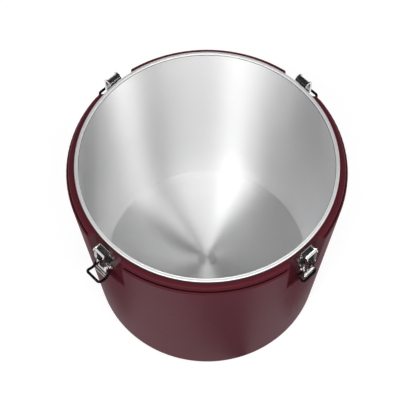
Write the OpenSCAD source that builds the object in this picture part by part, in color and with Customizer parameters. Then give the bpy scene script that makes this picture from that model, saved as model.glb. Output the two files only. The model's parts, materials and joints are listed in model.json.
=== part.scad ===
// Insulated soup carrier: a double-walled moulded barrel with a stainless liner.
// Four draw latches sit in pockets cut through the collar, ready to hold a lid.
// Millimetres. +Z is up, and the origin is the centre of the base on the ground.
// Latch 1 faces +X, and the others follow at quarter turns towards +Y.

/* [Barrel] */
// Height of the steel rim above the ground
body_h = 344; // [320:1:380]
// Outside diameter of the steel rim
rim_d = 380; // [350:1:420]
// How far the collar stands out beyond the rim
collar_out = 9; // [8.5:0.25:11]
// Height of the collar band
collar_h = 7.5; // [7:0.5:10]
// Drop from the rim top to the collar's top face
collar_drop = 5.5; // [5:0.25:7]
// Rounding of the collar's top edge
collar_top_r = 4.5; // [3:0.25:4.5]
// Rounding of the collar's lower edge
collar_low_r = 2.5; // [1.5:0.25:2.5]
// How far the wall's shoulder stands out beyond the collar
wall_out = 3.7; // [3:0.1:5]
// Lean of the outer wall, in degrees
wall_taper = 4.15; // [2:0.05:5]
// Rounding of the wall's shoulder, under the collar
wall_edge_r = 3; // [1.5:0.5:4]
// Rounding of the bottom edge
base_edge_r = 19; // [12:1:26]
// Thickness of the moulded wall
shell_t = 3.2; // [2.6:0.1:3.6]

/* [Latch pockets] */
// Gap between the rim's edge and the back wall of a pocket
pocket_set = 0.5; // [0.4:0.1:1.5]
// Half the width of a pocket at its back wall
pocket_half = 27.5; // [25:0.5:29]
// Splay of a pocket's sides, in degrees
pocket_splay = 45; // [35:1:50]
// Rounding of the wall's shoulder beside a pocket
pocket_r = 6; // [4.5:0.5:8]
// Depth of a pocket's ledge below the rim top
pocket_drop = 86; // [82:1:96]

/* [Liner] */
// Thickness of the liner sheet
liner_t = 0.8; // [0.6:0.1:1.2]
// Width of the rim flange
flange_w = 6.5; // [6:0.25:7.5]
// Thickness of the rolled rim flange
flange_t = 3.5; // [2.5:0.25:4]
// Lean of the liner's wall, in degrees
liner_lean = 3.5; // [3:0.1:6]
// Height of the liner's floor above the ground
floor_z = 26; // [20:1:40]
// Rounding between the liner's floor and wall
floor_edge_r = 3; // [2:0.5:10]
// Radius of the disc pressed in the middle of the floor
disc_r = 16; // [10:1:30]
// Height of that disc
disc_h = 0.5; // [0.3:0.1:0.8]

/* [Base plugs] */
// Distance of the two plugs from the centre
plug_pitch = 92; // [60:1:120]
// Radius of the fill plug's neck
fill_r = 11; // [8:0.5:14]
// Radius of the vent plug's neck
vent_r = 5; // [4:0.5:7]

/* [Latch] */
// Sheet thickness of the latch parts
sheet_t = 1.5; // [1.3:0.1:1.6]
// Distance of the lever's pivot from the pocket wall
pivot_out = 9; // [8.5:0.25:11]
// Depth of the lever's pivot below the rim top
pivot_drop = 40; // [38:0.5:44]
// Distance from the lever's pivot to the claw pin
throw = 7.5; // [6.5:0.25:8]
// How far the closed claw pin lies behind the pivot
over_centre = 0.75; // [0.4:0.05:1]
// Length of the lever below its pivot
lever_len = 16.5; // [15.5:0.5:19]
// Half the width of the lever
lever_half = 10; // [9.5:0.25:10]
// Half the width of the claw
claw_half = 10.5; // [9:0.25:10.5]
// Depth of the claw's lip below the rim top
claw_drop = 2; // [1.5:0.25:4]
// Distance of the claw's front from the pocket wall
claw_out = 15.5; // [14.5:0.25:15.75]
// How far the claw's side flanges stand out
flange_out = 2; // [1.5:0.25:2.25]
// Running clearance between pins and holes, on the radius
pin_clear = 0.06; // [0.03:0.01:0.09]

/* [Pull loop] */
// Radius of the coated wire
wire_r = 2; // [1.6:0.1:2.05]
// Half the width between the loop's legs
loop_half = 13; // [12.8:0.1:15]
// Length of a leg from its pivot to the elbow
leg_upper = 12; // [11:0.5:14]
// Length of a leg from the elbow to the crossbar
leg_lower = 13.5; // [12.5:0.5:16]
// Bend of the elbow, in degrees
elbow_bend = 72; // [60:1:76]

/* [Rest positions] */
// Opening of the fourth lever at rest, in degrees
open_rest = 11; // [0:1:30]
// Angle of the first loop, which hangs down
loop_hanging = -21; // [-28:1:0]
// Angle of the second and third loops, which stand out
loop_raised = 42; // [10:1:46]
// Angle of the fourth loop, on the open lever
loop_open = 28; // [0:1:46]

/* [Hidden] */
$fn = 96;

fit_gap = 0.05;
maroon = [0.33, 0.12, 0.15];
steel = [0.80, 0.80, 0.79];

rim_r = rim_d / 2;
collar_r = rim_r + collar_out;
collar_z = body_h - collar_drop;
groove_z = collar_z - collar_h;
cavity_z = collar_z - shell_t;
mouth_r = rim_r - flange_w;
flange_z = body_h - flange_t;
hole_r = mouth_r + liner_t + 0.5;
wall_d = rim_r + pocket_set;

// Radius of the barrel's outer wall at height z
function wall_r(z) = collar_r + wall_out - (groove_z - z) * tan(wall_taper);
// Radius of the liner's inner wall at height z
function liner_r(z) = mouth_r - (body_h - z) * tan(liner_lean);
// Centre of a circle of radius rad at height z that touches a wall of the given radius and lean
function touch_x(radius, lean, rad) = radius - rad / cos(lean);
// Point where such a circle touches the wall
function touch(x, z, lean, rad) = [x + rad * cos(lean), z - rad * sin(lean)];

base_x = touch_x(wall_r(base_edge_r), wall_taper, base_edge_r);
edge_z = groove_z - wall_edge_r;
edge_x = touch_x(wall_r(edge_z), wall_taper, wall_edge_r);
bend_z = floor_z + floor_edge_r;
bend_x = touch_x(liner_r(bend_z), liner_lean, floor_edge_r);
shoulder_r = wall_r(groove_z);
side_d = [cos(pocket_splay), sin(pocket_splay)];
side_n = [sin(pocket_splay), -cos(pocket_splay)];
side_q = [wall_d, pocket_half] - pocket_r * side_n;
side_b = side_q * side_d;
side_l = sqrt(pow(side_b, 2) - side_q * side_q + pow(shoulder_r - pocket_r, 2)) - side_b;
side_c = side_q + side_l * side_d;

pin_r = 2;
claw_pin_r = 1.75;
claw_pin = [-over_centre, -throw];
loop_pin = [2.8, -throw - 3];
web_in = 5;
web_out = web_in + sheet_t;
lever_r = 6;
lip_r = sheet_t;
ear_in = 10.5;
ear_out = ear_in + sheet_t;
rivet_r = 2;
rivet_up = -29;
rivet_low = -70;
tongue_half = 4.2;
notch_half = tongue_half + 1;
web_up = 4;
claw_in = claw_out - sheet_t;
claw_bend_r = 5;
claw_foot = -31;
tongue_u = pivot_out - over_centre;
tongue_top = claw_foot - 6.5;
tip_r = 2.5;
tip_u = 5.5;
bend_swell = 0.02;
weld = 0.3;

// Solid outline of the barrel, from the axis to its outer face
module barrel_outline() {
  polygon([
    [0, 0],
    [base_x, 0],
    touch(base_x, base_edge_r, wall_taper, base_edge_r),
    touch(edge_x, edge_z, wall_taper, wall_edge_r),
    [edge_x, groove_z],
    [0, groove_z]
  ]);
  translate([base_x, base_edge_r]) circle(r = base_edge_r);
  translate([edge_x, edge_z]) circle(r = wall_edge_r);
  polygon([
    [0, groove_z - 0.5],
    [collar_r - collar_low_r, groove_z - 0.5],
    [collar_r - collar_low_r, groove_z],
    [collar_r, groove_z + collar_low_r],
    [collar_r, collar_z - collar_top_r],
    [collar_r - collar_top_r, collar_z],
    [0, collar_z]
  ]);
  translate([collar_r - collar_low_r, groove_z + collar_low_r]) circle(r = collar_low_r);
  translate([collar_r - collar_top_r, collar_z - collar_top_r]) circle(r = collar_top_r);
}

// Outline of the space inside the moulded wall, made smaller all round by gap
module cavity_outline(gap) {
  inset = shell_t + gap;
  rad = base_edge_r - inset;
  step_z = groove_z - inset;
  neck_r = collar_r - collar_low_r - inset;
  polygon([
    [0, inset],
    [base_x, inset],
    touch(base_x, base_edge_r, wall_taper, rad),
    [wall_r(step_z) - inset / cos(wall_taper), step_z],
    [neck_r, step_z],
    [neck_r, cavity_z - gap],
    [0, cavity_z - gap]
  ]);
  translate([base_x, base_edge_r]) circle(r = rad);
}

// Plan of a pocket, made larger by grow: a flat back wall, and splayed sides that round over at the shoulder
module pocket_plan(grow) {
  rad = pocket_r - grow;
  edge = side_c / norm(side_c);
  half = pocket_half + grow * (1 - sin(pocket_splay)) / cos(pocket_splay);
  flat_end = side_c + rad * side_n;
  arc_end = side_c + rad * edge;
  clear = (shoulder_r + 10) * edge;
  difference() {
    polygon([
      [wall_d - grow, -half],
      [flat_end[0], -flat_end[1]],
      [arc_end[0], -arc_end[1]],
      [clear[0], -clear[1]],
      clear,
      arc_end,
      flat_end,
      [wall_d - grow, half]
    ]);
    for (side = [-1, 1])
      translate([side_c[0], side * side_c[1]]) circle(r = rad);
  }
}

module pockets(grow) {
  for (k = [0:3])
    rotate([0, 0, 90 * k])
      translate([0, 0, body_h - pocket_drop - grow])
        linear_extrude(pocket_drop + grow + 5) pocket_plan(grow);
}

// Outline of the liner as a filled pot, made larger all round by grow
module pot_outline(grow) {
  rad = floor_edge_r + grow;
  polygon([
    [0, floor_z - grow],
    [bend_x, floor_z - grow],
    touch(bend_x, bend_z, liner_lean, rad),
    [mouth_r + grow / cos(liner_lean), body_h],
    [0, body_h]
  ]);
  translate([bend_x, bend_z]) circle(r = rad);
}

// Rolled rim: a flat bar with round edges and a fine groove on its top
module flange_outline() {
  rad = flange_t / 2;
  difference() {
    union() {
      translate([mouth_r + rad, flange_z]) square([flange_w - flange_t, flange_t]);
      translate([mouth_r + rad, body_h - rad]) circle(r = rad);
      translate([rim_r - rad, body_h - rad]) circle(r = rad);
    }
    translate([mouth_r + 2.2, body_h + 0.3]) circle(r = 0.6);
  }
}

module outer_shell() {
  color(maroon)
    difference() {
      rotate_extrude() barrel_outline();
      difference() {
        rotate_extrude() cavity_outline(0);
        pockets(shell_t);
      }
      pockets(0);
      translate([0, 0, cavity_z - 1]) cylinder(r = hole_r, h = shell_t + 2);
      plug_hole(plug_pitch, fill_r);
      plug_hole(-plug_pitch, vent_r);
      for (k = [1:4])
        at_latch(k) rivet_holes(shell_t + 1);
    }
}

// Hole in the base with a counterbore that hides the plug's head
module plug_hole(y, rad) {
  translate([0, y, -1]) cylinder(r = rad + fit_gap, h = shell_t + 2);
  translate([0, y, -1]) cylinder(r = rad + 4.3, h = 2.6);
}

module plug(y, rad) {
  translate([0, y, 0.4]) cylinder(r = rad + 4, h = 1.2);
  translate([0, y, 0.4]) cylinder(r = rad, h = shell_t - 0.4);
}

module fill_plug() {
  color([0.12, 0.10, 0.11]) plug(plug_pitch, fill_r);
}

module vent_plug() {
  color([0.12, 0.10, 0.11]) plug(-plug_pitch, vent_r);
}

module inner_liner() {
  color(steel) {
    rotate_extrude()
      difference() {
        union() {
          pot_outline(liner_t);
          flange_outline();
        }
        difference() {
          translate([0, 0.01]) pot_outline(0);
          flange_outline();
        }
      }
    translate([0, 0, floor_z - 0.1]) cylinder(r1 = disc_r, r2 = disc_r - 1, h = disc_h + 0.1);
  }
}

module foam_core() {
  color([0.93, 0.88, 0.70])
    difference() {
      rotate_extrude()
        difference() {
          cavity_outline(fit_gap);
          pot_outline(liner_t + fit_gap);
        }
      pockets(shell_t + fit_gap);
      for (y = [plug_pitch, -plug_pitch])
        translate([0, y, 0]) cylinder(r = fill_r + 1, h = shell_t + 0.5);
    }
}

module rim_gasket() {
  color([0.08, 0.07, 0.07])
    translate([0, 0, collar_z])
      difference() {
        cylinder(r = rim_r - 0.5, h = flange_z - collar_z);
        translate([0, 0, -1]) cylinder(r = hole_r, h = flange_z - collar_z + 2);
      }
}

// Frame of a latch: x out from the pocket wall, y along it, z up from the rim top
module at_latch(k) {
  rotate([0, 0, 90 * (k - 1)]) translate([wall_d, 0, body_h]) children();
}

function lever_angle(k) = k == 4 ? open_rest : 0;
function loop_angle(k) = k == 1 ? loop_hanging : k == 4 ? loop_open : loop_raised;

// Frame of a lever: its origin is the pivot, and it has swung out by its rest angle
module at_lever(k) {
  at_latch(k)
    translate([pivot_out, 0, -pivot_drop])
      rotate([0, -lever_angle(k), 0]) children();
}

// Gives a side view a width along the pocket wall
module slab(width) {
  rotate([90, 0, 0]) linear_extrude(width, center = true) children();
}

module both_sides(y) {
  for (side = [-1, 1])
    translate([0, side * y, 0]) children();
}

// Round bar along the pocket wall at a point of the side view
module cross_bar(at, rad, half) {
  translate([at[0], 0, at[1]]) rotate([90, 0, 0]) cylinder(r = rad, h = 2 * half, center = true);
}

// Low domed head, with its flat side on the plane z = 0
module dome(rad, high) {
  ball = (rad * rad + high * high) / (2 * high);
  rotate_extrude()
    intersection() {
      translate([0, high - ball]) circle(r = ball);
      square([rad, high]);
    }
}

// Quarter of a bent sheet: from angle 180 to 270 of a ring, turned by turn
module quarter_bend(centre, inner, outer, turn) {
  translate(centre)
    rotate(turn)
      intersection() {
        difference() {
          circle(r = outer);
          circle(r = inner);
        }
        translate([-outer, -outer]) square(outer);
      }
}

module rivet_holes(depth) {
  for (z = [rivet_up, rivet_low])
    translate([-depth, 0, z]) rotate([0, 90, 0]) cylinder(r = rivet_r + fit_gap, h = depth + 4);
}

module base_plate() {
  square_top = -pivot_drop + 8;
  translate([-ear_out, square_top - 18]) square([2 * ear_out, 18]);
  translate([-8, rivet_low]) square([16, rivet_up - rivet_low]);
  translate([0, rivet_low]) circle(r = 8);
  translate([0, rivet_up]) circle(r = 8);
}

module ear_outline() {
  polygon([
    [0, -pivot_drop + 8],
    [pivot_out, -pivot_drop + 6.5],
    [pivot_out, -pivot_drop - 6.5],
    [0, -pivot_drop - 10]
  ]);
  translate([pivot_out, -pivot_drop]) circle(r = 6.5);
}

module latch_base(k) {
  color(steel)
    at_latch(k)
      difference() {
        union() {
          rotate([90, 0, 90]) linear_extrude(sheet_t) base_plate();
          both_sides(ear_in + sheet_t / 2) slab(sheet_t) ear_outline();
        }
        rivet_holes(1);
        cross_bar([pivot_out, -pivot_drop], pin_r + fit_gap, 20);
      }
}

module latch_rivets(k) {
  color(steel)
    at_latch(k)
      for (z = [rivet_up, rivet_low])
        translate([0, 0, z])
          rotate([0, 90, 0]) {
            translate([0, 0, sheet_t]) dome(3.8, 1.6);
            translate([0, 0, 0.2 - shell_t]) cylinder(r = rivet_r, h = shell_t + sheet_t);
          }
}

module latch_pivots(k) {
  color(steel)
    at_latch(k)
      translate([pivot_out, 0, -pivot_drop])
        for (side = [-1, 1])
          rotate([-90 * side, 0, 0]) {
            translate([0, 0, ear_out]) dome(3.4, 1.4);
            translate([0, 0, 8.2]) cylinder(r = pin_r, h = ear_out - 8);
          }
}

module lever_side() {
  circle(r = lever_r);
  polygon([[-3.5, 0], [-3.5, -12], [1.5, -lever_len], [web_out, -lever_len], [web_out, web_up], [0, web_up]]);
}

// Front of the lever with the finger lip curled outwards at its end
module lever_web() {
  lip_x = web_out + lip_r;
  translate([web_in, -lever_len]) square([sheet_t, lever_len + web_up]);
  quarter_bend([lip_x, -lever_len], lip_r, lip_r + sheet_t, 0);
  translate([lip_x - 0.01, -lever_len - lip_r - sheet_t]) square([1.5, sheet_t]);
}

module latch_lever(k) {
  color(steel)
    at_lever(k)
      difference() {
        union() {
          both_sides(lever_half - sheet_t / 2) slab(sheet_t) lever_side();
          slab(2 * lever_half) lever_web();
        }
        translate([web_in - 1, -notch_half, -8.5]) cube([sheet_t + 2, 2 * notch_half, web_up + 9.5]);
        cross_bar([0, 0], pin_r + pin_clear, 20);
        cross_bar(claw_pin, claw_pin_r + fit_gap, 20);
        cross_bar(loop_pin, wire_r + pin_clear, 20);
      }
}

module latch_claw_pin(k) {
  color(steel)
    at_lever(k) {
      cross_bar(claw_pin, claw_pin_r, lever_half + 0.2);
      both_sides(lever_half + 0.1) cross_bar(claw_pin, claw_pin_r + 0.45, 0.1);
    }
}

// Hooked web: downturned tip, lip, bend and front
module claw_web() {
  top = -claw_drop;
  bend_u = claw_out - claw_bend_r;
  translate([tip_u - tip_r, top - tip_r - 2.5]) square([sheet_t, 2.51]);
  quarter_bend([tip_u, top - tip_r], tip_r - sheet_t, tip_r, -90);
  translate([tip_u, top - sheet_t]) square([bend_u - tip_u, sheet_t]);
  quarter_bend([bend_u, top - claw_bend_r], claw_bend_r - sheet_t, claw_bend_r, 180);
  translate([claw_in, claw_foot]) square([sheet_t, top - claw_bend_r - claw_foot]);
}

// Tongue that joggles back from the front and curls round the claw pin
module claw_tongue() {
  half = sheet_t / 2;
  eye_z = -pivot_drop - throw;
  polygon([
    [claw_in, claw_foot + 0.5],
    [claw_out, claw_foot + 0.5],
    [claw_out, claw_foot - 1],
    [tongue_u + half, tongue_top],
    [tongue_u + half, eye_z],
    [tongue_u - half, eye_z],
    [tongue_u - half, tongue_top],
    [claw_in, claw_foot - 1]
  ]);
  translate([tongue_u, eye_z]) circle(r = claw_pin_r + pin_clear + sheet_t);
}

// Raised flange along each edge of the claw
module claw_flange() {
  end_r = (sheet_t + flange_out) / 2;
  end_z = claw_foot + end_r;
  top = -claw_drop;
  bend_u = claw_out - claw_bend_r;
  translate([tip_u, top - sheet_t]) square([bend_u - tip_u, sheet_t + flange_out]);
  quarter_bend([bend_u, top - claw_bend_r], claw_bend_r - sheet_t, claw_bend_r + flange_out, 180);
  translate([claw_in, end_z]) square([2 * end_r, top - claw_bend_r - end_z]);
  translate([claw_in + end_r, end_z]) circle(r = end_r);
}

// The claw stays upright: its eye follows the claw pin as the lever swings
module latch_claw(k) {
  turn = lever_angle(k);
  shift_u = claw_pin[0] * (cos(turn) - 1) - claw_pin[1] * sin(turn);
  shift_w = claw_pin[0] * sin(turn) + claw_pin[1] * (cos(turn) - 1);
  color(steel)
    at_latch(k)
      translate([shift_u, 0, shift_w])
        difference() {
          union() {
            slab(2 * claw_half) claw_web();
            slab(2 * tongue_half) claw_tongue();
            both_sides(claw_half - sheet_t / 2) slab(sheet_t) claw_flange();
          }
          cross_bar([tongue_u, -pivot_drop - throw], claw_pin_r + pin_clear, 20);
        }
}

// Straight piece of wire along z, let into the bends, which carries what follows at its end
module run(length) {
  translate([0, 0, -weld]) cylinder(r = wire_r, h = length + 2 * weld);
  translate([0, 0, length]) children();
}

// Wire bent towards x by an angle, a hair thicker there, which carries what follows at its end
module bend(angle, radius) {
  translate([radius, 0, 0])
    rotate([90, 0, 0])
      rotate([0, 0, 180 - angle])
        rotate_extrude(angle = angle) translate([radius, 0]) circle(r = wire_r + bend_swell);
  translate([radius, 0, 0])
    rotate([0, angle, 0]) translate([-radius, 0, 0]) children();
}

// One unbroken wire: in at one side of the lever, down, out, across and back
module loop_wire() {
  shoulder = 3;
  knee = 5;
  corner = 4;
  stub = loop_half - shoulder - lever_half + 1;
  upper = leg_upper - shoulder - knee * tan(elbow_bend / 2);
  lower = leg_lower - corner - knee * tan(elbow_bend / 2);
  across = 2 * (loop_half - corner);
  translate([0, 0, lever_half - 1])
    run(stub) bend(90, shoulder)
    run(upper) rotate([0, 0, 90]) bend(elbow_bend, knee)
    run(lower) rotate([0, 0, -90]) bend(90, corner)
    run(across) bend(90, corner)
    run(lower) rotate([0, 0, 90]) bend(elbow_bend, knee)
    run(upper) rotate([0, 0, -90]) bend(90, shoulder)
    run(stub);
}

module latch_loop(k) {
  color([0.06, 0.06, 0.06])
    at_lever(k)
      translate([loop_pin[0], 0, loop_pin[1]])
        rotate([0, -loop_angle(k), 0])
          rotate([0, 90, 0]) rotate([90, 0, 0]) loop_wire();
}

outer_shell();
inner_liner();
foam_core();
rim_gasket();
fill_plug();
vent_plug();
latch_base(1);  // latch_1_base
latch_rivets(1);  // latch_1_rivets
latch_pivots(1);  // latch_1_pivots
latch_lever(1);  // latch_1_lever
latch_claw_pin(1);  // latch_1_claw_pin
latch_claw(1);  // latch_1_claw
latch_loop(1);  // latch_1_loop
latch_base(2);  // latch_2_base
latch_rivets(2);  // latch_2_rivets
latch_pivots(2);  // latch_2_pivots
latch_lever(2);  // latch_2_lever
latch_claw_pin(2);  // latch_2_claw_pin
latch_claw(2);  // latch_2_claw
latch_loop(2);  // latch_2_loop
latch_base(3);  // latch_3_base
latch_rivets(3);  // latch_3_rivets
latch_pivots(3);  // latch_3_pivots
latch_lever(3);  // latch_3_lever
latch_claw_pin(3);  // latch_3_claw_pin
latch_claw(3);  // latch_3_claw
latch_loop(3);  // latch_3_loop
latch_base(4);  // latch_4_base
latch_rivets(4);  // latch_4_rivets
latch_pivots(4);  // latch_4_pivots
latch_lever(4);  // latch_4_lever
latch_claw_pin(4);  // latch_4_claw_pin
latch_claw(4);  // latch_4_claw
latch_loop(4);  // latch_4_loop
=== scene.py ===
# %% [markdown]
# # Insulated soup carrier: looks
#
# The carrier is a moulded barrel with a spun steel pot inside it and four draw latches around its rim.
# The exact solids come from the CAD model, and they stay where they are. This lesson gives them their
# finishes, makes the one surface that needs a finer mesh than the solids have, and lights the object.

# %% Load the frame
import json
import math

import bpy
import numpy as np
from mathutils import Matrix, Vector


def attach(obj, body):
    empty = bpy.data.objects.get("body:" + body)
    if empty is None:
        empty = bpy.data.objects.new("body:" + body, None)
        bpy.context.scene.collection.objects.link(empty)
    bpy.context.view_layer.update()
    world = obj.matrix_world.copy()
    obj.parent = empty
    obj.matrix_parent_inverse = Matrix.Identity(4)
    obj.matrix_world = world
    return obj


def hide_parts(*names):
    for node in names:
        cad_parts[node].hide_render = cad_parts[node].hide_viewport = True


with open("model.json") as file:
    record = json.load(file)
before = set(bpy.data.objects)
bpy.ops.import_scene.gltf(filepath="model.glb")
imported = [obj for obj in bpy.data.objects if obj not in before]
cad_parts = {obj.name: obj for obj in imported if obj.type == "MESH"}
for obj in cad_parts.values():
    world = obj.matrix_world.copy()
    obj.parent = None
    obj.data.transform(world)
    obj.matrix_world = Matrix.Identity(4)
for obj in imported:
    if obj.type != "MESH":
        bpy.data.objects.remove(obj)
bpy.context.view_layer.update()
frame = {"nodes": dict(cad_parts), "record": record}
nodes = frame["nodes"]

# %% [markdown]
# ## The liner, as a profile turned about the axis
#
# The real pot is drawn and then spun, so every trace of the tool runs around it, and its reflections show
# the slightest flat. The solid's own mesh has facets that a mirror-like steel would show. A profile turned
# in fine steps has exact rings, so the pot is made again here, to the same sizes, and stands for the solid.

# %% Sizes of the liner, in metres
MM = 0.001
BODY_H = 344 * MM
RIM_R = 190 * MM
FLANGE_W = 6.5 * MM
FLANGE_T = 3.5 * MM
LINER_T = 0.8 * MM
LEAN = math.radians(3.5)
FLOOR_Z = 26 * MM
FLOOR_EDGE_R = 3 * MM
DISC_R = 16 * MM
DISC_H = 0.5 * MM
GROOVE_R = 0.6 * MM
GROOVE_IN = 2.2 * MM
GROOVE_UP = 0.3 * MM
WALL_RINGS = 24
STEPS_AROUND = 288
MOUTH_R = RIM_R - FLANGE_W
print("inside of the rim:", round(2 * MOUTH_R, 4), "m across")


# %% The liner's profile
def arc(centre, radius, start, end, count):
    """Points on a circle: centre plus radius times (cos, sin) of count even angles from start to end."""
    turn = np.radians(np.linspace(start, end, count))
    return np.column_stack((centre[0] + radius * np.cos(turn), centre[1] + radius * np.sin(turn)))


def wall_r(z):
    """Radius of the pot's inside at height z: a straight line from the floor's edge to the mouth."""
    return MOUTH_R - (BODY_H - z) * math.tan(LEAN)


def liner_profile():
    """Radius and height along the sheet: inside from the axis to the rim, over the flange, back outside."""
    lean = math.degrees(LEAN)
    bend = (wall_r(FLOOR_Z + FLOOR_EDGE_R) - FLOOR_EDGE_R / math.cos(LEAN), FLOOR_Z + FLOOR_EDGE_R)
    roll = FLANGE_T / 2
    inner_roll = (MOUTH_R + roll, BODY_H - roll)
    outer_roll = (RIM_R - roll, BODY_H - roll)
    groove = (MOUTH_R + GROOVE_IN, BODY_H + GROOVE_UP)
    out_r = MOUTH_R + LINER_T / math.cos(LEAN)
    disc = [
        [0, FLOOR_Z + DISC_H],
        [DISC_R - 1.2 * MM, FLOOR_Z + DISC_H],
        [DISC_R - 0.9 * MM, FLOOR_Z + 0.9 * DISC_H],
        [DISC_R - 0.1 * MM, FLOOR_Z + 0.1 * DISC_H],
        [DISC_R + 0.2 * MM, FLOOR_Z],
    ]
    floor_line = np.column_stack((np.linspace(DISC_R + 4 * MM, bend[0] - 1 * MM, 10), np.full(10, FLOOR_Z)))
    heights = np.linspace(FLOOR_Z + 12 * MM, BODY_H - 4 * MM, WALL_RINGS)
    flat_r = np.linspace(groove[0] + 0.7 * MM, outer_roll[0] - 0.2 * MM, 4)
    return np.vstack((
        disc,
        floor_line,
        arc(bend, FLOOR_EDGE_R, -90, -lean, 12),
        np.column_stack((wall_r(heights), heights)),
        arc(inner_roll, roll, 176, 93, 10),
        arc(groove, GROOVE_R, 210, 330, 7),
        np.column_stack((flat_r, np.full(len(flat_r), BODY_H))),
        arc(outer_roll, roll, 90, -90, 16),
        [[out_r + 0.4 * MM, BODY_H - FLANGE_T], [out_r, BODY_H - FLANGE_T - 0.4 * MM]],
        np.column_stack((wall_r(heights[::-1]) + LINER_T / math.cos(LEAN), heights[::-1]))[3:],
        arc(bend, FLOOR_EDGE_R + LINER_T, -lean, -90, 10),
        [[0, FLOOR_Z - LINER_T]],
    ))


# %% Turn the profile into a mesh
def turned_mesh(name, profile, steps):
    """A surface of revolution: point (r, z) of the profile goes to (r cos a, r sin a, z) at each of
    steps angles a. The profile's two ends lie on the axis and become single points with fans."""
    turn = np.linspace(0, 2 * math.pi, steps, endpoint=False)
    rings = profile[1:-1]
    grid = np.stack((
        rings[:, :1] * np.cos(turn),
        rings[:, :1] * np.sin(turn),
        np.repeat(rings[:, 1:], steps, axis=1),
    ), axis=-1)
    poles = np.array([[0, 0, profile[0, 1]], [0, 0, profile[-1, 1]]])
    points = np.vstack((grid.reshape(-1, 3), poles))
    index = np.arange(len(rings) * steps).reshape(len(rings), steps)
    ahead = np.roll(index, -1, axis=1)
    quads = np.stack((index[:-1], ahead[:-1], ahead[1:], index[1:]), axis=-1).reshape(-1, 4)
    first, last = len(points) - 2, len(points) - 1
    top_fan = np.column_stack((np.full(steps, first), ahead[0], index[0]))[:, ::-1]
    low_fan = np.column_stack((np.full(steps, last), index[-1], ahead[-1]))[:, ::-1]
    mesh = bpy.data.meshes.new(name)
    mesh.from_pydata(points.tolist(), [], top_fan.tolist() + low_fan.tolist() + quads[:, ::-1].tolist())
    mesh.validate()
    mesh.shade_smooth()
    return mesh


profile = liner_profile()
liner = bpy.data.objects.new("liner_spun", turned_mesh("liner_spun", profile, STEPS_AROUND))
bpy.context.scene.collection.objects.link(liner)
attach(liner, "barrel")
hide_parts("inner_liner")
print("liner profile points:", len(profile), "faces:", len(liner.data.polygons))

# %% [markdown]
# ## Shader maths as expressions
#
# A finish is a small calculation on every point of a surface. Writing it as Python expressions keeps it
# readable: a Wire is the output of a node, and adding or multiplying two Wires adds the Math node.


# %% The socket wrapper
class Wire:
    """An output socket of a material's node tree, with arithmetic on it."""

    def __init__(self, tree, socket):
        self.tree = tree
        self.socket = socket

    @classmethod
    def node(cls, tree, kind, inputs=None, out=0, **settings):
        """Adds a node: its settings first, then its inputs, which are linked or set."""
        made = tree.nodes.new(kind)
        for name, value in settings.items():
            setattr(made, name, value)
        for name, value in (inputs or {}).items():
            if isinstance(value, Wire):
                tree.links.new(value.socket, made.inputs[name])
            else:
                made.inputs[name].default_value = value
        return cls(tree, made.outputs[out])

    def maths(self, operation, first, second):
        """A Math node on two Wires or numbers."""
        return Wire.node(self.tree, "ShaderNodeMath", {0: first, 1: second}, operation=operation)

    def __add__(self, other):
        return self.maths("ADD", self, other)

    def __radd__(self, other):
        return self.maths("ADD", other, self)

    def __sub__(self, other):
        return self.maths("SUBTRACT", self, other)

    def __rsub__(self, other):
        return self.maths("SUBTRACT", other, self)

    def __mul__(self, other):
        return self.maths("MULTIPLY", self, other)

    def __rmul__(self, other):
        return self.maths("MULTIPLY", other, self)

    def __abs__(self):
        return self.maths("ABSOLUTE", self, 0.0)

    def above(self, low, high):
        """0 below low, 1 above high, and a smooth step between them."""
        inputs = {"Value": self, "From Min": low, "From Max": high}
        return Wire.node(self.tree, "ShaderNodeMapRange", inputs, interpolation_type="SMOOTHSTEP")


# %% Helpers that most finishes share
def new_finish(name):
    """A new material with a shader and an output. Returns the material, its tree and the shader."""
    material = bpy.data.materials.new(name)
    material.use_nodes = True
    tree = material.node_tree
    return material, tree, tree.nodes["Principled BSDF"]


def place(tree):
    """The point on the object in metres, as the solids have it."""
    return Wire.node(tree, "ShaderNodeTexCoord", out="Object")


def noise(tree, point, scale, detail=3.0, rough=0.55):
    """Cloudy noise around 0.5, with scale features to a metre."""
    return Wire.node(tree, "ShaderNodeTexNoise",
                     {"Vector": point, "Scale": scale, "Detail": detail, "Roughness": rough})


def line_noise(tree, along, scale):
    """Noise that changes along one length only, with scale features to a metre."""
    inputs = {"W": along, "Scale": scale, "Detail": 3.0}
    return Wire.node(tree, "ShaderNodeTexNoise", inputs, noise_dimensions="1D")


def part_of(tree, point, axis):
    """The point's X, Y or Z in metres."""
    return Wire.node(tree, "ShaderNodeSeparateXYZ", {0: point}, out=axis)


def from_axis(tree, point):
    """Distance of the point from the barrel's axis, in metres."""
    flat = Wire.node(tree, "ShaderNodeVectorMath", {0: point, 1: (1, 1, 0)}, operation="MULTIPLY")
    return Wire.node(tree, "ShaderNodeVectorMath", {0: flat}, out="Value", operation="LENGTH")


def colour_mix(tree, mask, low, high):
    """Colour low where the mask is 0 and high where it is 1. A Mix node's colours are inputs 6 and 7."""
    return Wire.node(tree, "ShaderNodeMix", {0: mask, 6: low, 7: high}, out=2, data_type="RGBA")


def relief(tree, height, strength, distance):
    """A bump that raises the surface by up to distance metres where height is 1."""
    return Wire.node(tree, "ShaderNodeBump", {"Height": height, "Strength": strength, "Distance": distance})


def connect(tree, shader, **wires):
    """Links each Wire to the shader's socket of that name, with underscores read as spaces."""
    for name, wire in wires.items():
        tree.links.new(wire.socket, shader.inputs[name.replace("_", " ")])
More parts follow.
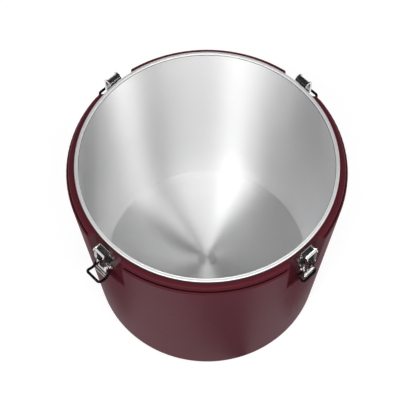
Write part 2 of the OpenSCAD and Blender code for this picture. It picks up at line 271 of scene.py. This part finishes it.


# %% [markdown]
# ## Moulded maroon plastic
#
# The barrel is moulded in one piece of tinted polyethylene. Its wall has a fine dull grain, and a sheen
# painted into its colour makes it paler and greyer. The collar is smoother and deeper in colour.


# %% Plastic of the barrel
WALL_TOP_R = 202.7 * MM
WALL_TOP_Z = 331 * MM
WALL_LEAN = math.radians(4.15)
POCKET_Z = 258 * MM
POCKET_HALF = 36.5 * MM
COLLAR_R = 199 * MM
# The wall's colours are the maroon with a painted sheen mixed in, so they are paler and greyer.
SHEENED_WALL_COLOURS = (0.108, 0.023, 0.034, 1), (0.123, 0.028, 0.040, 1)
SMOOTH_COLOURS = (0.080, 0.0115, 0.0180, 1), (0.092, 0.0145, 0.0220, 1)
# Painted shade for the groove under the collar.
NOTCH_SHADE_COLOUR = (0.020, 0.002, 0.004, 1)


def maroon_plastic():
    """The wall is a cone. A point of the shell that lies inside that cone belongs to a pocket, which is
    as smooth as the collar above the wall and takes its deeper colour, without the wall's painted sheen.
    The groove under the collar is painted dark as shade, but not in a pocket."""
    material, tree, shader = new_finish("maroon_plastic")
    point = place(tree)
    x, y, height = (part_of(tree, point, axis) for axis in "XYZ")
    cone = WALL_TOP_R - math.tan(WALL_LEAN) * (WALL_TOP_Z - height)
    radius = from_axis(tree, point)
    pocket = (cone - radius).above(1.0 * MM, 2.5 * MM) * height.above(POCKET_Z - 8 * MM, POCKET_Z)
    # The mask below is 1 on the wall outside the pockets and the collar: real grain there, and a painted
    # sheen.
    grain_and_sheen = (1.0 - pocket) * (1.0 - height.above(WALL_TOP_Z - 3.5 * MM, WALL_TOP_Z - 1 * MM))
    # The groove under the collar is painted dark as shade, except at the pockets.
    notch_shade = height.above(WALL_TOP_Z - 1.2 * MM, WALL_TOP_Z - 0.6 * MM)
    notch_shade = notch_shade - height.above(WALL_TOP_Z + 1.2 * MM, WALL_TOP_Z + 2.4 * MM)
    notch_shade = notch_shade * (1.0 - radius.above(COLLAR_R + 0.8 * MM, COLLAR_R + 2.0 * MM))
    beside = x.maths("MINIMUM", abs(x), abs(y))
    notch_shade = notch_shade * beside.above(POCKET_HALF, POCKET_HALF + 1.5 * MM)
    cloud = noise(tree, point, 7.0)
    grain = noise(tree, point, 620.0, detail=2.0)
    # The wall's colours hold a painted sheen, which makes them paler and greyer than the smooth colour.
    wall = colour_mix(tree, cloud, *SHEENED_WALL_COLOURS)
    smooth = colour_mix(tree, cloud, *SMOOTH_COLOURS)
    colour = colour_mix(tree, notch_shade, colour_mix(tree, grain_and_sheen, smooth, wall), NOTCH_SHADE_COLOUR)
    rough = 0.34 + 0.16 * grain_and_sheen + 0.10 * (grain - 0.5) + 0.08 * (cloud - 0.5)
    depth = grain * (0.25 + 0.75 * grain_and_sheen) + 0.4 * noise(tree, point, 90.0)
    connect(tree, shader, Base_Color=colour, Roughness=rough, Normal=relief(tree, depth, 0.35, 0.22 * MM))
    shader.inputs["Specular IOR Level"].default_value = 0.05
    return material


# %% [markdown]
# ## Spun stainless steel
#
# The spinning tool leaves rings that are too fine to see one by one. They stretch every reflection across
# the rings: upright bands on the wall and wedges that meet in the middle of the floor. The shader's
# anisotropy does that. Its own direction runs around the axis, so it is turned by a quarter.


# %% Steel of the liner
SPUN_COLOURS = (0.89, 0.890, 0.893, 1), (0.94, 0.940, 0.943, 1)
QUARTER_TURN = 0.25


def spun_steel():
    """Rings and wide bands along the sheet, and a duller disc in the middle of the floor."""
    material, tree, shader = new_finish("spun_steel")
    point = place(tree)
    radius = from_axis(tree, point)
    along = radius - part_of(tree, point, "Z")
    disc = 1.0 - radius.above(DISC_R - 1.0 * MM, DISC_R)
    rings = line_noise(tree, along, 900.0)
    wide = line_noise(tree, along, 55.0)
    cloud = noise(tree, point, 9.0)
    colour = colour_mix(tree, cloud, *SPUN_COLOURS)
    rough = 0.46 + 0.24 * disc + 0.10 * (rings - 0.5) + 0.06 * (wide - 0.5)
    connect(tree, shader, Base_Color=colour, Roughness=rough,
            Normal=relief(tree, rings + wide, 0.10, 0.08 * MM))
    shader.inputs["Metallic"].default_value = 1.0
    shader.inputs["Anisotropic"].default_value = 1.0
    shader.inputs["Anisotropic Rotation"].default_value = QUARTER_TURN
    return material


# %% Steel of the rim
TURN_IN_R = 184.0 * MM
TURN_OUT_R = 189.4 * MM
TURN_BLEND = 0.3 * MM
RIM_BRIGHT = (0.92, 0.92, 0.92, 1)
# Painted shade for the rounded edges of the roll.
RIM_SHADE = (0.13, 0.13, 0.13, 1)


def rim_steel():
    """Rolled edge: the flat on its top is bright. The rounded edges of the roll beside it are painted dark
    as shade.
    """
    material, tree, shader = new_finish("rim_steel")
    point = place(tree)
    radius = from_axis(tree, point)
    rings = line_noise(tree, radius, 1400.0)
    # The inner and outer edges of the roll are painted dark as shade.
    inner_turn_shade = 1.0 - radius.above(TURN_IN_R - TURN_BLEND, TURN_IN_R + TURN_BLEND)
    shaded_turns = inner_turn_shade + radius.above(TURN_OUT_R - TURN_BLEND, TURN_OUT_R + TURN_BLEND)
    colour = colour_mix(tree, shaded_turns, RIM_BRIGHT, RIM_SHADE)
    connect(tree, shader, Base_Color=colour, Roughness=0.58 + 0.12 * (rings - 0.5),
            Normal=relief(tree, rings, 0.08, 0.05 * MM))
    shader.inputs["Metallic"].default_value = 1.0
    return material


# %% [markdown]
# ## Latch steel, coated wire and the hidden pieces
#
# The latches are pressed from bright sheet and carry fine scratches.
# The pull loops are wire in a black coating with a soft shine. The gasket, the plugs and the foam are
# seldom seen, but they have their own finishes too.


# %% Steel of the latches
LATCH_COLOURS = (0.62, 0.62, 0.61, 1), (0.71, 0.71, 0.70, 1)


def latch_steel():
    """Bright sheet with scratches, longer upright than across."""
    material, tree, shader = new_finish("latch_steel")
    point = place(tree)
    long_way = Wire.node(tree, "ShaderNodeMapping", {"Vector": point, "Scale": (1, 1, 0.12)})
    scratch = noise(tree, long_way, 1500.0, detail=2.0)
    cloud = noise(tree, point, 120.0)
    colour = colour_mix(tree, cloud, *LATCH_COLOURS)
    rough = 0.16 + 0.12 * (scratch - 0.5) + 0.08 * (cloud - 0.5)
    connect(tree, shader, Base_Color=colour, Roughness=rough, Normal=relief(tree, scratch, 0.12, 0.04 * MM))
    shader.inputs["Metallic"].default_value = 1.0
    return material


# %% Black finishes and the foam
def dark_finish(name, colour, gloss, grain_scale, depth, shine=0.5):
    """A dark plastic or rubber: nearly black, with grain in its shine and its relief."""
    material, tree, shader = new_finish(name)
    point = place(tree)
    grain = noise(tree, point, grain_scale)
    cloud = noise(tree, point, 60.0)
    light = tuple(1.5 * c + 0.001 for c in colour)
    connect(tree, shader, Base_Color=colour_mix(tree, cloud, (*colour, 1), (*light, 1)),
            Roughness=gloss + 0.15 * (grain - 0.5), Normal=relief(tree, grain, 0.25, depth))
    shader.inputs["Specular IOR Level"].default_value = shine
    return material


def foam_finish():
    """Pale closed cells: a cell pattern darkens the colour in the gaps and dents the surface."""
    material, tree, shader = new_finish("foam")
    inputs = {"Vector": place(tree), "Scale": 450.0}
    cells = Wire.node(tree, "ShaderNodeTexVoronoi", inputs, out="Distance")
    colour = colour_mix(tree, cells, (0.80, 0.72, 0.48, 1), (0.66, 0.56, 0.34, 1))
    connect(tree, shader, Base_Color=colour, Normal=relief(tree, cells, 0.4, 0.6 * MM))
    shader.inputs["Roughness"].default_value = 0.85
    return material


# %% [markdown]
# ## Finishes on the pieces
#
# Every solid takes the finish of its slot. The turned liner has two: the spun steel of the pot, and the
# rolled steel of its rim.

# %% Give each piece its finish
SLACK = 0.01 * MM
finishes = {
    "maroon_plastic": maroon_plastic(),
    "liner_steel": spun_steel(),
    "latch_steel": latch_steel(),
    "coated_wire": dark_finish("coated_wire", (0.002, 0.002, 0.002), 0.30, 800.0, 0.05 * MM, shine=0.06),
    "gasket_rubber": dark_finish("gasket_rubber", (0.016, 0.014, 0.014), 0.62, 700.0, 0.1 * MM),
    "plug_plastic": dark_finish("plug_plastic", (0.020, 0.016, 0.017), 0.48, 600.0, 0.1 * MM),
    "foam": foam_finish(),
}
for part in frame["record"]["subparts"]:
    mesh = nodes[part["node"]].data
    mesh.materials.clear()
    mesh.materials.append(finishes[part["material_slot"]])
liner.data.materials.append(finishes["liner_steel"])
liner.data.materials.append(rim_steel())
centres = np.empty(3 * len(liner.data.polygons))
liner.data.polygons.foreach_get("center", centres)
centres = centres.reshape(-1, 3)
outside = np.hypot(centres[:, 0], centres[:, 1]) > MOUTH_R + SLACK
on_rim = outside & (centres[:, 2] > BODY_H - FLANGE_T - SLACK)
liner.data.polygons.foreach_set("material_index", on_rim.astype(np.int32))
print("faces on the rim:", int(on_rim.sum()))
print("finishes:", ", ".join(finishes))

# %% [markdown]
# ## Floor and light
#
# The carrier stands on a seamless white floor. The camera and the steel see the floor and the sky as plain
# white, and a part of the floor's white is real light on it, so the soft shadow under the barrel stays.


# %% The floor
FLOOR_GLOW = 0.72
FLOOR_COLOUR = (0.42, 0.42, 0.42, 1)
FLOOR_HALF = 4
SKY_LIGHT = 0.40
SKY_GLOW = 0.60


def seen_directly(tree):
    """1 for rays from the camera and for those that metal or glass sends on, and 0 for scattered light."""
    camera = Wire.node(tree, "ShaderNodeLightPath", out="Is Camera Ray")
    glossy = Wire.node(tree, "ShaderNodeLightPath", out="Is Glossy Ray")
    through = Wire.node(tree, "ShaderNodeLightPath", out="Is Transmission Ray")
    return camera + glossy + through


def stage_finish(name):
    """A material with only an output in its tree. Returns the material, its tree and that socket."""
    material = bpy.data.materials.new(name)
    material.use_nodes = True
    tree = material.node_tree
    tree.nodes.clear()
    return material, tree, tree.nodes.new("ShaderNodeOutputMaterial").inputs["Surface"]


def white_floor():
    """Most of its white is a glow for the camera and the steel; the rest is light that falls on it."""
    material, tree, surface = stage_finish("floor_white")
    glow = Wire.node(tree, "ShaderNodeEmission", {"Strength": FLOOR_GLOW * seen_directly(tree)})
    matt = Wire.node(tree, "ShaderNodeBsdfDiffuse", {"Color": FLOOR_COLOUR})
    both = Wire.node(tree, "ShaderNodeAddShader", {0: glow, 1: matt})
    tree.links.new(both.socket, surface)
    return material


def rectangle(half_w, half_h):
    """The four corners of a flat rectangle around the origin."""
    return [(-half_w, -half_h, 0), (half_w, -half_h, 0), (half_w, half_h, 0), (-half_w, half_h, 0)]


floor_mesh = bpy.data.meshes.new("floor")
floor_mesh.from_pydata(rectangle(FLOOR_HALF, FLOOR_HALF), [], [(0, 1, 2, 3)])
floor_mesh.materials.append(white_floor())
floor = bpy.data.objects.new("floor", floor_mesh)
bpy.context.scene.collection.objects.link(floor)
print("floor:", 2 * FLOOR_HALF, "m wide")

# %% The sky
world = bpy.data.worlds.new("sky")
bpy.context.scene.world = world
world.use_nodes = True
sky = world.node_tree.nodes["Background"]
sky.inputs["Color"].default_value = (1, 1, 1, 1)
connect(world.node_tree, sky, Strength=SKY_LIGHT + SKY_GLOW * seen_directly(world.node_tree))
print("sky:", SKY_LIGHT, "as light and", SKY_LIGHT + SKY_GLOW, "as seen")

# %% [markdown]
# ## Cards and lamps
#
# Bright steel shows what stands around it, so the studio holds what the steel should mirror. Dark cards
# stand at the sides, behind and above, and small ones lie on the floor where the latches mirror it. Only
# reflections see them: the camera doesn't, and they neither shade nor light the object. Three soft lamps
# give the light: one at the front left, a narrow one at the right, and a wide one high at the front.


# %% Places in the studio, and the lamps
CAMERA_TURN = math.radians(-44.3)
middle = Vector((0, 0, 0.2))


def studio(turn, away, height):
    """A point away metres from the axis. Turn 0 is the camera's side and 90 the picture's right."""
    angle = CAMERA_TURN + math.radians(turn)
    return Vector((away * math.cos(angle), away * math.sin(angle), height))


def set_up(made, where, aim, front):
    """Puts an object at a point, with the axis named front turned to another point."""
    made.location = where
    made.rotation_mode = "QUATERNION"
    made.rotation_quaternion = (aim - where).to_track_quat(front, "Y")
    bpy.context.scene.collection.objects.link(made)


def lamp(name, where, aim, size, power):
    """A rectangular area lamp of some watts at a point, turned to face another point."""
    data = bpy.data.lights.new(name, "AREA")
    data.shape = "RECTANGLE"
    data.size, data.size_y = size
    data.energy = power
    made = bpy.data.objects.new(name, data)
    set_up(made, where, aim, "-Z")
    return made


# %% The dark cards
def card(name, where, aim, size, finish):
    """A screen at a point, turned to face another point. Only reflections show it."""
    mesh = bpy.data.meshes.new(name)
    mesh.from_pydata(rectangle(size[0] / 2, size[1] / 2), [], [(0, 1, 2, 3)])
    mesh.materials.append(finish)
    made = bpy.data.objects.new(name, mesh)
    set_up(made, where, aim, "Z")
    made.visible_camera = made.visible_diffuse = made.visible_shadow = False
    return made


def screen(name, level):
    """A card's finish: one even grey, where 1 would be as white as the sky that it hides."""
    material, tree, surface = stage_finish(name)
    tree.links.new(Wire.node(tree, "ShaderNodeEmission", {"Strength": level}).socket, surface)
    return material


ON_FLOOR = 0.002
black, grey = screen("screen_black", 0.02), screen("screen_grey", 0.24)
cards = [
    card("card_left", studio(-112, 0.78, 1.05), middle, (1.6, 1.3), black),
    card("card_right", studio(120, 0.78, 1.05), middle, (1.45, 1.3), black),
    card("card_back", studio(180, 1.1, 1.2), middle, (0.3, 1.9), grey),
    card("card_lip_left", studio(-154, 0.62, 1.79), middle, (0.26, 0.3), grey),
    card("card_lip_right", studio(154, 0.62, 1.79), middle, (0.26, 0.3), grey),
    card("card_over", studio(180, 0.15, 2.0), studio(180, 0.15, 0.0), (0.26, 0.9), black),
    card("card_low_left", studio(-65, 0.33, ON_FLOOR), studio(-65, 0.33, 1.0), (0.19, 0.19), black),
    card("card_low_front", studio(10, 0.34, ON_FLOOR), studio(10, 0.34, 1.0), (0.24, 0.24), grey),
    card("card_low_right", studio(65, 0.33, ON_FLOOR), studio(65, 0.33, 1.0), (0.19, 0.19), black),
]
lamps = [
    lamp("key", studio(-36, 1.4, 1.95), middle, (1.0, 0.8), 14),
    lamp("fill", studio(72, 1.3, 1.8), middle, (0.5, 0.8), 10),
    lamp("top", studio(2, 1.1, 2.1), middle, (1.7, 0.7), 16),
]
print("cards:", len(cards))
print("lamps:", [(made.name, round(made.data.energy, 1)) for made in lamps])

# %% [markdown]
# ## Camera
#
# A camera fitted to the rim, the collar and the base of the real object stands 1.84 m away and looks down
# steeply, with a long lens. The object's axis lies a pixel left of the picture's middle.

# %% The camera
PIXELS = 416
FOCAL_PIXELS = 1200
ELEVATION = math.radians(62.085)
DISTANCE = 1.8394
target = Vector((0, 0, 0.2001))
view = bpy.data.cameras.new("camera")
view.sensor_width = 36
view.lens = FOCAL_PIXELS / PIXELS * view.sensor_width
view.shift_x = 0.99 / PIXELS
camera = bpy.data.objects.new("camera", view)
flat = math.cos(ELEVATION)
towards = Vector((flat * math.cos(CAMERA_TURN), flat * math.sin(CAMERA_TURN), math.sin(ELEVATION)))
camera.location = target + DISTANCE * towards
camera.rotation_mode = "QUATERNION"
camera.rotation_quaternion = (-towards).to_track_quat("-Z", "Y")
bpy.context.scene.collection.objects.link(camera)
bpy.context.scene.camera = camera
bpy.context.scene.view_settings.view_transform = "Standard"
print("lens:", round(view.lens, 2), "mm")
